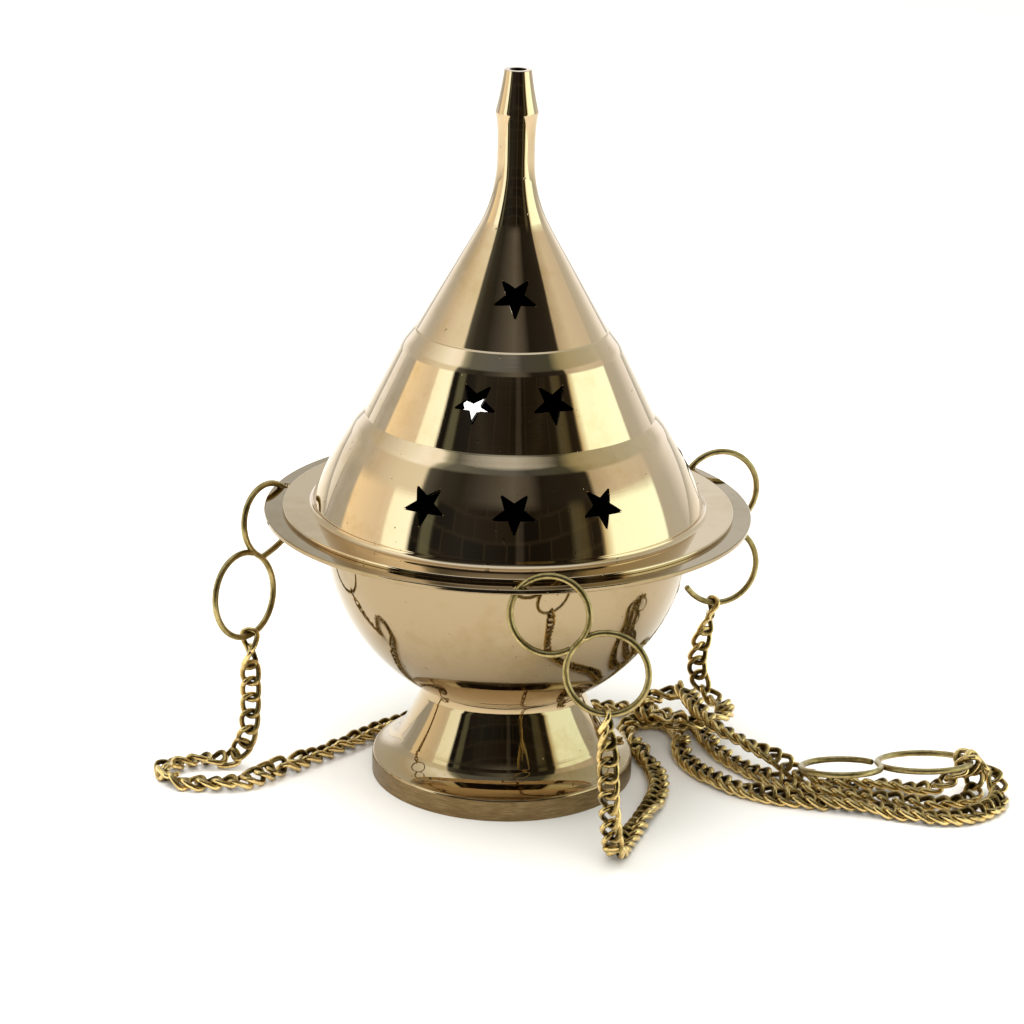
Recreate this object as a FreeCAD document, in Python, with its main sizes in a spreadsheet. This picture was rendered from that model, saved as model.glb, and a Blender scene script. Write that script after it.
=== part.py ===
import FreeCAD, Part
import Sketcher
import math
import os

# A small hanging censer of turned and cast brass: a hollow foot, a round bowl with a wide flange, a
# three-tiered pierced lid, three chains on S-hooks and a fourth S-hook that gathers the chains.
# Millimetres. +Z is up, the origin is the centre of the foot's underside and -Y is the front.

SIZES = {
    # foot
    "foot_radius": 31.5,
    "foot_band": 4.8,
    "foot_lip_radius": 30.7,
    "foot_lip_height": 5.5,
    "foot_dish_radius": 25.4,
    "foot_dish_height": 9.0,
    "foot_flare_radius": 19.9,
    "foot_flare_height": 18.4,
    "foot_neck_radius": 19.3,
    "foot_height": 22.8,
    "foot_wall": 1.4,
    "foot_plate": 1.8,
    "foot_lip_curve": 0.9,
    "foot_dish_curve": 6.4,
    "foot_flare_curve": 60.0,
    "foot_neck_curve": 14.0,
    # bowl
    "bowl_base": 22.8,
    "bowl_base_radius": 18.15,
    "bowl_floor_radius": 17.89,
    "bowl_curve": 43.2,
    "bowl_radius": 43.2,
    "bowl_middle": 62.0,
    "bowl_wall": 1.2,
    "flange_radius": 57.5,
    "flange_bottom": 66.0,
    "flange_top": 67.2,
    "flange_edge": 0.4,
    "hook_hole": 1.45,
    "hook_hole_wide": 1.9,
    # lid
    "lid_flange_radius": 53.2,
    "lid_flange_top": 68.2,
    "lid_wall": 1.2,
    "lid_edge": 0.3,
    "lid_fillet": 1.4,
    "lid_flange_under": 0.3,
    "lid_lip_radius": 41.7,
    "lid_lip_wall": 1.2,
    "lid_lip_depth": 2.8,
    "tier_low_radius": 46.0,
    "tier_low_height": 69.6,
    "shoulder_low_radius": 36.6,
    "shoulder_low_height": 87.3,
    "step_low_radius": 33.9,
    "step_low_height": 90.5,
    "shoulder_high_radius": 25.4,
    "shoulder_high_height": 107.1,
    "step_high_radius": 22.2,
    "step_high_height": 110.9,
    "cone_radius": 8.85,
    "cone_height": 134.0,
    "neck_radius": 4.33,
    "neck_height": 150.9,
    "throat_height": 155.0,
    "ridge_radius": 4.92,
    "ridge_height": 161.5,
    "tip_radius": 3.13,
    "tip_height": 171.2,
    "smoke_hole": 1.8,
    "neck_wall": 0.9,
    "tier_curve": 90.0,
    "cone_curve": 33.6,
    "ridge_curve": 36.0,
    "tip_curve": 80.0,
    "smoke_funnel_low": 159.0,
    "smoke_funnel_high": 165.0,
    # stars
    "star_tip": 4.9,
    "star_notch": 2.15,
    "star_high": 122.1,
    "star_middle": 100.7,
    "star_low": 79.4,
    # foot screw and nut
    "screw_radius": 1.95,
    "screw_hole": 2.1,
    "screw_length": 10.5,
    "screw_head_radius": 4.0,
    "screw_head_height": 1.8,
    "nut_height": 3.0,
    "nut_across_flats": 7.0,
    "nut_bore": 2.0,
    # hooks and chains
    "wire_radius": 0.75,
    "left_upper_ring": 8.92,
    "left_lower_ring": 10.15,
    "front_upper_ring": 8.83,
    "front_lower_ring": 9.21,
    "right_upper_ring": 9.65,
    "right_lower_ring": 9.76,
    "top_near_ring": 9.54,
    "top_far_ring": 11.05,
    "chain_radius": 2.3,
}

# Star rows: the height, the wall's corner below and above it, and the angles within one group.
STAR_ROWS = [
    ("star_high", ("step_high_radius", "step_high_height"), ("cone_radius", "cone_height"), (0.0,)),
    ("star_middle", ("step_low_radius", "step_low_height"),
     ("shoulder_high_radius", "shoulder_high_height"), (-17.9, 17.9)),
    ("star_low", ("tier_low_radius", "tier_low_height"),
     ("shoulder_low_radius", "shoulder_low_height"), (-28.7, 0.0, 28.7)),
]
STAR_GROUPS = (2.0, 122.0, 222.0)
STAR_STAND_OFF = 2.0
STAR_CUT = 5.0
STAR_POINTS = 5

# S-hooks on the flange. centre is the upper ring's; plane is the heading of the hook's plane in plan,
# lean is how far that plane leans back from upright and swing how far the lower ring stands aside.
# turn is 1 where the upper ring starts off sideways along the plane's heading and -1 against it.
# hole is the size of its hole in the flange: the left wire passes through at the widest slant.
HOOKS = {
    "hook_left": {"centre": (-56.93, 6.23, 60.20), "plane": 53.0, "lean": -6.19, "swing": -34.53,
                  "rings": ("left_upper_ring", "left_lower_ring"), "turn": -1,
                  "sweeps": (335.0, 335.0), "hole": "hook_hole_wide"},
    "hook_front": {"centre": (9.74, -57.17, 61.45), "plane": -8.41, "lean": -6.62, "swing": 47.22,
                   "rings": ("front_upper_ring", "front_lower_ring"), "turn": 1,
                   "sweeps": (335.0, 335.0), "hole": "hook_hole"},
    "hook_right": {"centre": (52.39, 34.20, 61.46), "plane": 15.27, "lean": -4.22, "swing": 0.61,
                   "rings": ("right_upper_ring", "right_lower_ring"), "turn": -1,
                   "sweeps": (335.0, 240.0), "hole": "hook_hole"},
}
# The top hook lies on the chains: meeting is where its two rings meet.
TOP_HOOK = {"meeting": (90.0, -14.1, 9.2), "heading": 11.6, "tilt": 12.1,
            "rings": ("top_near_ring", "top_far_ring"), "sweeps": (335.0, 335.0)}

# Centre lines of the chains, from the hook each one hangs on to the top hook.
ROUTES = {
    "chain_left": [
        (-60.1, -2.6, 31.7), (-60.5, -4.0, 20.3), (-61.0, -5.6, 8.8), (-64.2, -3.4, 3.1),
        (-71.5, -0.4, 2.35), (-79.6, -2.4, 2.35), (-83.2, -10.8, 2.35), (-79.6, -19.2, 2.35),
        (-70.0, -21.4, 2.35), (-60.5, -18.6, 2.35), (-54.0, -9.0, 2.35), (-45.5, 1.2, 2.35),
        (-37.8, 9.8, 2.35), (-30.2, 19.8, 2.35), (-18.5, 31.2, 2.35), (-3.0, 36.0, 2.35),
        (13.0, 37.4, 2.35), (28.0, 36.6, 2.35), (41.0, 33.4, 2.35), (49.6, 26.0, 2.35),
        (51.2, 15.0, 2.35), (55.2, 4.8, 2.35), (62.6, -4.6, 2.35), (71.5, -12.4, 2.35),
        (82.0, -15.4, 2.35), (92.5, -17.2, 2.35), (102.6, -20.0, 2.35), (110.2, -18.4, 2.6),
        (113.6, -12.6, 3.4), (112.4, -7.0, 4.0),
    ],
    "chain_front": [
        (22.7, -61.7, 37.0), (23.6, -60.8, 25.5), (24.5, -59.0, 14.0), (25.4, -55.4, 4.6),
        (27.4, -48.6, 2.35), (31.1, -37.0, 2.35), (35.8, -24.5, 2.35), (38.5, -11.5, 2.35),
        (36.4, 1.5, 2.35), (31.8, 12.4, 2.35), (30.0, 21.2, 2.35), (34.2, 28.6, 2.35),
        (42.0, 27.4, 2.35), (44.6, 19.6, 2.35), (43.6, 9.5, 2.35), (46.6, -1.0, 2.35),
        (53.5, -10.6, 2.35), (64.0, -17.6, 2.35), (77.5, -19.9, 2.35), (90.5, -23.2, 2.35),
        (101.0, -27.6, 2.35), (111.0, -26.2, 2.35), (118.6, -19.6, 2.6), (121.3, -12.6, 4.2),
        (116.0, -8.2, 7.3),
    ],
    "chain_right": [
        (50.6, 31.3, 31.3), (49.2, 31.1, 22.7), (48.0, 31.7, 13.6), (51.9, 31.7, 7.2),
        (56.2, 25.4, 7.05), (54.6, 17.6, 7.05), (47.6, 14.0, 7.05), (40.0, 14.2, 7.05),
        (34.8, 19.4, 7.05), (34.9, 28.2, 7.4), (42.8, 29.8, 9.6), (46.1, 23.0, 11.9),
        (46.9, 16.0, 11.98), (49.4, 9.0, 11.0), (54.4, 4.2, 8.6), (60.8, 0.8, 7.0),
        (67.4, -2.6, 5.2), (74.0, -6.8, 2.7), (82.0, -8.8, 2.35), (92.0, -9.6, 2.35),
        (100.8, -11.6, 2.9), (106.6, -13.0, 5.2),
    ],
}
# An arc takes this share of the shorter run at each corner of a chain's route.
ARC_SHARE = 0.45
# The most that a tube's volume may differ from its length times its section, as a share.
TUBE_TOLERANCE = 0.02
# Half the length of the construction line that a hook's ring turns about.
AXLE_HALF = 1.0
# Where on a hook's first ring its direction is tested (radians), and how near counts as on it.
PROBE_ANGLE = 0.3
PROBE_REACH = 0.01
TOUCH = 1e-7

doc = FreeCAD.newDocument("censer")
sheet = doc.addObject("Spreadsheet::Sheet", "Sizes")
for row, (alias, number) in enumerate(SIZES.items(), start=1):
    sheet.set("A%d" % row, alias)
    sheet.set("B%d" % row, str(number))
    sheet.setAlias("B%d" % row, alias)
doc.recompute()


def split_terms(text):
    """A size written as sheet names and numbers joined by + and -: its signed terms."""
    terms = []
    sign = 1.0
    for word in text.split():
        if word == "+":
            sign = 1.0
        elif word == "-":
            sign = -1.0
        else:
            terms.append((sign, word))
    return terms


def value_of(text):
    total = 0.0
    for sign, word in split_terms(text):
        total += sign * (sheet.get(word) if word in SIZES else float(word))
    return total


def bound_to_sheet(text):
    parts = []
    for sign, word in split_terms(text):
        name = "Sizes." + word if word in SIZES else word
        parts.append(("+ " if sign > 0 else "- ") + name)
    joined = " ".join(parts)
    return joined[2:] if joined.startswith("+ ") else joined


def new_body(name):
    body = doc.addObject("PartDesign::Body", name)
    body.Label = name
    return body


def origin_item(body, role):
    for item in body.Origin.OriginFeatures:
        if item.Role == role:
            return item
    raise ValueError("the body has no " + role)


def new_sketch(body, name, plane):
    sketch = body.newObject("Sketcher::SketchObject", name)
    sketch.AttachmentSupport = [(origin_item(body, plane), "")]
    sketch.MapMode = "FlatFace"
    return sketch


def arc_through(start, end, radius, side):
    """An arc from start to end that bulges to the left (side 1) or the right (side -1) of the way."""
    dx = end[0] - start[0]
    dy = end[1] - start[1]
    chord = math.hypot(dx, dy)
    depth = math.sqrt(radius ** 2 - (chord / 2) ** 2)
    centre_x = (start[0] + end[0]) / 2 + side * depth * dy / chord
    centre_y = (start[1] + end[1]) / 2 - side * depth * dx / chord
    first = math.atan2(start[1] - centre_y, start[0] - centre_x)
    last = math.atan2(end[1] - centre_y, end[0] - centre_x)
    circle = Part.Circle(FreeCAD.Vector(centre_x, centre_y, 0), FreeCAD.Vector(0, 0, 1), radius)
    if side > 0:
        return Part.ArcOfCircle(circle, last, first), 2, 1
    return Part.ArcOfCircle(circle, first, last), 1, 2


def draw_profile(sketch, corners):
    """Closed outline from corners (radius, height, edge to the next corner), all bound to the sheet.

    An edge is None for a straight line, or (curve size, side) for an arc.
    """
    points = [(value_of(r), value_of(z)) for r, z, edge in corners]
    ends = []
    for i, (r, z, edge) in enumerate(corners):
        start = points[i]
        end = points[(i + 1) % len(points)]
        if edge is None:
            line = Part.LineSegment(FreeCAD.Vector(start[0], start[1], 0),
                                    FreeCAD.Vector(end[0], end[1], 0))
            ends.append((sketch.addGeometry(line, False), 1, 2))
        else:
            arc, first, last = arc_through(start, end, value_of(edge[0]), edge[1])
            ends.append((sketch.addGeometry(arc, False), first, last))
    for i, (geometry, first, last) in enumerate(ends):
        following = ends[(i + 1) % len(ends)]
        sketch.addConstraint(Sketcher.Constraint("Coincident", geometry, last, following[0],
                                                 following[1]))
    for i, (r, z, edge) in enumerate(corners):
        geometry, first, last = ends[i]
        for kind, text, number in (("DistanceX", r, points[i][0]), ("DistanceY", z, points[i][1])):
            if abs(number) < TOUCH:
                axis = -2 if kind == "DistanceX" else -1
                sketch.addConstraint(Sketcher.Constraint("PointOnObject", geometry, first, axis))
                continue
            at = sketch.addConstraint(Sketcher.Constraint(kind, -1, 1, geometry, first, number))
            sketch.setExpression("Constraints[%d]" % at, bound_to_sheet(text))
        if edge is not None:
            at = sketch.addConstraint(Sketcher.Constraint("Radius", geometry, value_of(edge[0])))
            sketch.setExpression("Constraints[%d]" % at, bound_to_sheet(edge[0]))


def turned_body(name, corners):
    """A body turned about Z from one half outline in the body's XZ plane."""
    body = new_body(name)
    sketch = new_sketch(body, name + "_outline", "XZ_Plane")
    draw_profile(sketch, corners)
    turn = body.newObject("PartDesign::Revolution", name + "_turned")
    turn.Profile = sketch
    turn.ReferenceAxis = (sketch, ["V_Axis"])
    turn.Angle = 360.0
    sketch.Visibility = False
    doc.recompute()
    return body


def cut_smaller(body, feature, before, what):
    if not body.Shape.Volume < before - TOUCH:
        raise ValueError(what + " removed nothing from " + body.Name)
    body.Tip = feature


# ---------------------------------------------------------------- foot
foot = turned_body("foot", [
    ("foot_radius - foot_wall", "0", None),
    ("foot_radius", "0", None),
    ("foot_radius", "foot_band", ("foot_lip_curve", -1)),
    ("foot_lip_radius", "foot_lip_height", ("foot_dish_curve", 1)),
    ("foot_dish_radius", "foot_dish_height", ("foot_flare_curve", 1)),
    ("foot_flare_radius", "foot_flare_height", ("foot_neck_curve", 1)),
    ("foot_neck_radius", "foot_height", None),
    ("screw_hole", "foot_height", None),
    ("screw_hole", "foot_height - foot_plate", None),
    ("foot_neck_radius - foot_wall", "foot_height - foot_plate", None),
    ("foot_flare_radius - foot_wall", "foot_flare_height", None),
    ("foot_dish_radius - foot_wall", "foot_dish_height - foot_wall", None),
    ("foot_radius - foot_wall", "foot_lip_height - foot_wall", None),
])

# ---------------------------------------------------------------- bowl
bowl = turned_body("bowl", [
    ("screw_hole", "bowl_base", None),
    ("bowl_base_radius", "bowl_base", ("bowl_curve", -1)),
    ("bowl_radius", "bowl_middle", None),
    ("bowl_radius", "flange_bottom", None),
    ("flange_radius - flange_edge", "flange_bottom", ("flange_edge", -1)),
    ("flange_radius", "flange_bottom + flange_edge", None),
    ("flange_radius", "flange_top - flange_edge", ("flange_edge", -1)),
    ("flange_radius - flange_edge", "flange_top", None),
    ("bowl_radius - bowl_wall", "flange_top", None),
    ("bowl_radius - bowl_wall", "bowl_middle", ("bowl_curve - bowl_wall", 1)),
    ("bowl_floor_radius", "bowl_base + bowl_wall", None),
    ("screw_hole", "bowl_base + bowl_wall", None),
])


def hook_axes(hook):
    """The wire's direction where the rings meet, the way to the upper ring, and the meeting point."""
    heading = math.radians(hook["plane"])
    lean = math.radians(hook["lean"])
    swing = math.radians(hook["swing"])
    across = FreeCAD.Vector(math.cos(heading), math.sin(heading), 0)
    back = FreeCAD.Vector(math.sin(heading), -math.cos(heading), 0)
    upright = FreeCAD.Vector(0, 0, math.cos(lean)) + back * math.sin(lean)
    run = across * math.cos(swing) + upright * math.sin(swing)
    rise = upright * math.cos(swing) - across * math.sin(swing)
    meeting = FreeCAD.Vector(*hook["centre"]) - rise * value_of(hook["rings"][0])
    return run, rise, meeting, upright


def flange_hole(hook):
    """Where a hook's upper ring passes down through the flange, on the bowl's side of the ring."""
    run, rise, meeting, upright = hook_axes(hook)
    centre = FreeCAD.Vector(*hook["centre"])
    ring = value_of(hook["rings"][0])
    across = FreeCAD.Vector(math.cos(math.radians(hook["plane"])),
                            math.sin(math.radians(hook["plane"])), 0)
    middle = (value_of("flange_bottom") + value_of("flange_top")) / 2
    sine = (middle - centre.z) / (ring * upright.z)
    cosine = math.sqrt(1 - sine ** 2)
    crossings = [centre + across * (side * ring * cosine) + upright * (ring * sine)
                 for side in (-1, 1)]
    return min(crossings, key=lambda point: math.hypot(point.x, point.y))


# the three hook holes
for name, hook in HOOKS.items():
    spot = flange_hole(hook)
    print("%s hole %.2f from the axis" % (name, math.hypot(spot.x, spot.y)))
    sketch = new_sketch(bowl, name + "_hole_outline", "XY_Plane")
    circle = sketch.addGeometry(Part.Circle(FreeCAD.Vector(spot.x, spot.y, 0),
                                            FreeCAD.Vector(0, 0, 1), value_of(hook["hole"])), False)
    sketch.addConstraint(Sketcher.Constraint("DistanceX", -1, 1, circle, 3, spot.x))
    sketch.addConstraint(Sketcher.Constraint("DistanceY", -1, 1, circle, 3, spot.y))
    bound = sketch.addConstraint(Sketcher.Constraint("Radius", circle, value_of(hook["hole"])))
    sketch.setExpression("Constraints[%d]" % bound, "Sizes." + hook["hole"])
    before = bowl.Shape.Volume
    hole = bowl.newObject("PartDesign::Pocket", name + "_hole")
    hole.Profile = sketch
    hole.Reversed = True
    hole.Type = "Length"
    hole.setExpression("Length", "Sizes.flange_top + Sizes.flange_edge")
    sketch.Visibility = False
    doc.recompute()
    cut_smaller(bowl, hole, before, name + "_hole")

# ---------------------------------------------------------------- lid
lid = turned_body("lid", [
    ("lid_lip_radius - lid_lip_wall", "flange_top - lid_lip_depth", None),
    ("lid_lip_radius", "flange_top - lid_lip_depth", None),
    ("lid_lip_radius", "flange_top", None),
    ("lid_flange_radius", "flange_top", None),
    ("lid_flange_radius", "lid_flange_top - lid_edge", ("lid_edge", -1)),
    ("lid_flange_radius - lid_edge", "lid_flange_top", None),
    ("tier_low_radius + lid_fillet", "lid_flange_top", ("lid_fillet", 1)),
    ("tier_low_radius", "tier_low_height", ("tier_curve", -1)),
    ("shoulder_low_radius", "shoulder_low_height", None),
    ("step_low_radius", "step_low_height", None),
    ("shoulder_high_radius", "shoulder_high_height", None),
    ("step_high_radius", "step_high_height", None),
    ("cone_radius", "cone_height", ("cone_curve", 1)),
    ("neck_radius", "neck_height", None),
    ("neck_radius", "throat_height", ("ridge_curve", 1)),
    ("ridge_radius", "ridge_height", ("tip_curve", 1)),
    ("tip_radius", "tip_height", None),
    ("smoke_hole", "tip_height", None),
    ("smoke_hole", "smoke_funnel_high", None),
    ("neck_radius - neck_wall", "smoke_funnel_low", None),
    ("neck_radius - neck_wall", "neck_height", ("cone_curve + lid_wall", -1)),
    ("cone_radius - lid_wall", "cone_height", None),
    ("step_high_radius - lid_wall", "step_high_height", None),
    ("shoulder_high_radius - lid_wall", "shoulder_high_height", None),
    ("step_low_radius - lid_wall", "step_low_height", None),
    ("shoulder_low_radius - lid_wall", "shoulder_low_height", ("tier_curve", 1)),
    ("tier_low_radius - lid_wall", "tier_low_height", None),
    ("tier_low_radius - lid_wall", "lid_flange_top + lid_flange_under", None),
    ("lid_lip_radius - lid_lip_wall", "lid_flange_top + lid_flange_under", None),
])


def draw_star(sketch):
    """A five-pointed star with one point down, its corners bound to the sheet."""
    corners = []
    for i in range(2 * STAR_POINTS):
        alias = "star_tip" if i % 2 == 0 else "star_notch"
        corners.append((alias, -90.0 + i * 180.0 / STAR_POINTS))
    spots = [FreeCAD.Vector(value_of(alias) * math.cos(math.radians(angle)),
                            value_of(alias) * math.sin(math.radians(angle)), 0)
             for alias, angle in corners]
    edges = [sketch.addGeometry(Part.LineSegment(spots[i], spots[(i + 1) % len(spots)]), False)
             for i in range(len(spots))]
    for i, edge in enumerate(edges):
        following = edges[(i + 1) % len(edges)]
        sketch.addConstraint(Sketcher.Constraint("Coincident", edge, 2, following, 1))
    for (alias, angle), spot, edge in zip(corners, spots, edges):
        for kind, number, wave in (("DistanceX", spot.x, "cos"), ("DistanceY", spot.y, "sin")):
            if abs(number) < TOUCH:
                sketch.addConstraint(Sketcher.Constraint("PointOnObject", edge, 1, -2))
                continue
            at = sketch.addConstraint(Sketcher.Constraint(kind, -1, 1, edge, 1, number))
            sketch.setExpression("Constraints[%d]" % at,
                                 "Sizes.%s * %s(%.1f deg)" % (alias, wave, angle))


def pierce_star(label, alias, below, above, angle):
    """Cut one star square through the wall, the given angle round from the front."""
    low_radius, low_height = value_of(below[0]), value_of(below[1])
    high_radius, high_height = value_of(above[0]), value_of(above[1])
    height = value_of(alias)
    share = (height - low_height) / (high_height - low_height)
    radius = low_radius + share * (high_radius - low_radius)
    slope = math.degrees(math.atan2(low_radius - high_radius, high_height - low_height))
    turn = FreeCAD.Rotation(FreeCAD.Vector(0, 1, 0), angle)
    tilt = FreeCAD.Rotation(FreeCAD.Vector(1, 0, 0), -slope)
    facing = turn.multiply(tilt)
    outward = facing.multVec(FreeCAD.Vector(0, 0, 1))
    wall = turn.multVec(FreeCAD.Vector(0, height, radius))
    sketch = new_sketch(lid, label + "_outline", "XZ_Plane")
    sketch.AttachmentOffset = FreeCAD.Placement(wall + outward * STAR_STAND_OFF, facing)
    draw_star(sketch)
    before = lid.Shape.Volume
    cut = lid.newObject("PartDesign::Pocket", label)
    cut.Profile = sketch
    cut.Type = "Length"
    cut.Length = STAR_CUT
    sketch.Visibility = False
    doc.recompute()
    cut_smaller(lid, cut, before, label)


for group, group_angle in enumerate(STAR_GROUPS, start=1):
    for alias, below, above, angles in STAR_ROWS:
        for count, angle in enumerate(angles, start=1):
            pierce_star("%s_%d_%d" % (alias, group, count), alias, below, above,
                        group_angle + angle)

# ---------------------------------------------------------------- foot screw and nut
screw = turned_body("foot_screw", [
    ("0", "bowl_base + bowl_wall - screw_length", None),
    ("screw_radius", "bowl_base + bowl_wall - screw_length", None),
    ("screw_radius", "bowl_base + bowl_wall", None),
    ("screw_head_radius", "bowl_base + bowl_wall", None),
    ("screw_head_radius", "bowl_base + bowl_wall + screw_head_height", None),
    ("0", "bowl_base + bowl_wall + screw_head_height", None),
])
prism = doc.addObject("Part::Prism", "nut_prism")
prism.Polygon = 6
prism.setExpression("Circumradius", "Sizes.nut_across_flats / sqrt(3)")
prism.setExpression("Height", "Sizes.nut_height")
bore = doc.addObject("Part::Cylinder", "nut_bore_tool")
bore.setExpression("Radius", "Sizes.nut_bore")
bore.setExpression("Height", "Sizes.nut_height")
nut = doc.addObject("Part::Cut", "foot_nut")
nut.Base = prism
nut.Tool = bore
nut.Label = "foot_nut"
nut.setExpression("Placement.Base.z", "Sizes.foot_height - Sizes.foot_plate - Sizes.nut_height")

# ---------------------------------------------------------------- hooks


def frame_from(run, rise, at):
    side = rise.cross(run)
    return FreeCAD.Placement(FreeCAD.Matrix(
        run.x, side.x, rise.x, at.x,
        run.y, side.y, rise.y, at.y,
        run.z, side.z, rise.z, at.z,
        0, 0, 0, 1))


def hook_body(name, run, rise, meeting, rings, turn, sweeps):
    """An S of two wire rings, each swept from the point where they meet."""
    body = new_body(name)
    sketch = new_sketch(body, name + "_wire", "YZ_Plane")
    wire = sketch.addGeometry(Part.Circle(FreeCAD.Vector(0, 0, 0), FreeCAD.Vector(0, 0, 1),
                                          value_of("wire_radius")), False)
    sketch.addConstraint(Sketcher.Constraint("Coincident", wire, 3, -1, 1))
    at = sketch.addConstraint(Sketcher.Constraint("Radius", wire, value_of("wire_radius")))
    sketch.setExpression("Constraints[%d]" % at, "Sizes.wire_radius")
    for alias, sign in zip(rings, (1, -1)):
        far = sign * value_of(alias)
        axle = sketch.addGeometry(Part.LineSegment(FreeCAD.Vector(-AXLE_HALF, far, 0),
                                                   FreeCAD.Vector(AXLE_HALF, far, 0)), True)
        sketch.addConstraint(Sketcher.Constraint("Horizontal", axle))
        sketch.addConstraint(Sketcher.Constraint("DistanceX", axle, 1, axle, 2,
                                                 2 * AXLE_HALF))
        sketch.addConstraint(Sketcher.Constraint("DistanceX", axle, 1, -1, 1, AXLE_HALF))
        at = sketch.addConstraint(Sketcher.Constraint("DistanceY", -1, 1, axle, 1, far))
        sketch.setExpression("Constraints[%d]" % at, ("" if sign > 0 else "-") + "Sizes." + alias)
    for i, sweep in enumerate(sweeps):
        ring = body.newObject("PartDesign::Revolution", "%s_ring_%d" % (name, i + 1))
        ring.Profile = sketch
        ring.ReferenceAxis = (sketch, ["Axis%d" % i])
        ring.Angle = sweep
        ring.Reversed = turn > 0
        doc.recompute()
    sketch.Visibility = False
    # the first ring must set off the right way: its quarter point is a ring's radius along the run
    quarter = FreeCAD.Vector(turn * value_of(rings[0]), 0, value_of(rings[0]))
    start = FreeCAD.Vector(turn * value_of(rings[0]) * math.sin(PROBE_ANGLE), 0,
                           value_of(rings[0]) * (1 - math.cos(PROBE_ANGLE)))
    for probe in (quarter, start):
        if not body.Shape.isInside(probe, PROBE_REACH, True):
            raise ValueError(name + " is wound the wrong way")
    body.Placement = frame_from(run, rise, meeting)
    return body


for name, hook in HOOKS.items():
    run, rise, meeting, upright = hook_axes(hook)
    hook_body(name, run, rise, meeting, hook["rings"], hook["turn"], hook["sweeps"])
    print("%s turns about (%.4f, %.4f, %.4f) on axis (%.4f, %.4f, %.4f)" % (
        (name,) + hook["centre"] + tuple(rise.cross(run))))

heading = math.radians(TOP_HOOK["heading"])
tilt = math.radians(TOP_HOOK["tilt"])
along = FreeCAD.Vector(-math.sin(heading) * math.cos(tilt), math.cos(heading) * math.cos(tilt),
                       -math.sin(tilt))
aside = FreeCAD.Vector(-math.cos(heading), -math.sin(heading), 0)
hook_body("top_hook", along, aside, FreeCAD.Vector(*TOP_HOOK["meeting"]), TOP_HOOK["rings"], -1,
          TOP_HOOK["sweeps"])

# ---------------------------------------------------------------- chains


def centre_line(points):
    """Straight runs joined by tangent arcs. Returns the edges, their length and the arcs' radii."""
    corners = [FreeCAD.Vector(*point) for point in points]
    edges = []
    radii = []
    length = 0.0
    last = corners[0]
    for before, corner, after in zip(corners, corners[1:], corners[2:]):
        toward = before - corner
        away = after - corner
        share = ARC_SHARE * min(toward.Length, away.Length)
        half = (math.pi - toward.getAngle(away)) / 2
        radius = share / math.tan(half)
        toward.normalize()
        away.normalize()
        begin = corner + toward * share
        finish = corner + away * share
        inward = toward + away
        inward.normalize()
        middle = corner + inward * (radius / math.cos(half) - radius)
        edges.append(Part.makeLine(last, begin))
        edges.append(Part.Arc(begin, middle, finish).toShape())
        length += (begin - last).Length + radius * 2 * half
        radii.append(radius)
        last = finish
    edges.append(Part.makeLine(last, corners[-1]))
    length += (corners[-1] - last).Length
    return edges, length, radii


for name, points in ROUTES.items():
    edges, length, radii = centre_line(points)
    spine = Part.Wire(edges)
    along = edges[0].tangentAt(edges[0].FirstParameter)
    ring = Part.Wire(Part.makeCircle(value_of("chain_radius"), FreeCAD.Vector(*points[0]), along))
    tube = spine.makePipeShell([ring], True, False)
    expected = math.pi * value_of("chain_radius") ** 2 * length
    print("%s: length %.1f, volume %.0f of %.0f expected, radii %s" % (
        name, length, tube.Volume, expected, " ".join("%.1f" % radius for radius in radii)))
    if abs(tube.Volume - expected) > TUBE_TOLERANCE * expected:
        raise ValueError(name + " is not a clean tube")
    chain = doc.addObject("Part::Feature", name)
    chain.Label = name
    chain.Shape = tube
    chain.Placement = FreeCAD.Placement()

# ---------------------------------------------------------------- write
NODES = ["foot", "bowl", "foot_screw", "foot_nut", "lid", "hook_left", "hook_front", "hook_right",
         "chain_left", "chain_front", "chain_right", "top_hook"]
doc.recompute()
for item in doc.Objects:
    if "Invalid" in item.State or "Error" in item.State:
        raise ValueError("%s is in state %s" % (item.Name, item.State))
os.makedirs("parts", exist_ok=True)
for node in NODES:
    shape = doc.getObject(node).Shape
    if shape.isNull() or not shape.isValid() or len(shape.Solids) != 1:
        raise ValueError(node + " is not one valid solid")
    box = shape.BoundBox
    print("%-12s %8.1f mm3  x %.1f..%.1f  y %.1f..%.1f  z %.1f..%.1f" % (
        node, shape.Volume, box.XMin, box.XMax, box.YMin, box.YMax, box.ZMin, box.ZMax))
    shape.exportStep("parts/%s.step" % node)
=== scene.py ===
import bpy
import math
import random
import numpy as np
from mathutils import Matrix, Vector


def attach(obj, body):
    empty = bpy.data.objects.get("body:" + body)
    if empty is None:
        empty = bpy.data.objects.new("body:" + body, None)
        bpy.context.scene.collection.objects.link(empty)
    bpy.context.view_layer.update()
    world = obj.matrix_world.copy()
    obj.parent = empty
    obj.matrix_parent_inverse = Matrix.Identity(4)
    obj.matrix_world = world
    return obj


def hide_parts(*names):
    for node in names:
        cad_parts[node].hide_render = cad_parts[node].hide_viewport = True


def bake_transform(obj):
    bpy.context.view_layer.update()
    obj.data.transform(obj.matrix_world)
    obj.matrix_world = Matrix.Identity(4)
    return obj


# A small hanging censer of polished brass. Metres, in the CAD model's frame.

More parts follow.
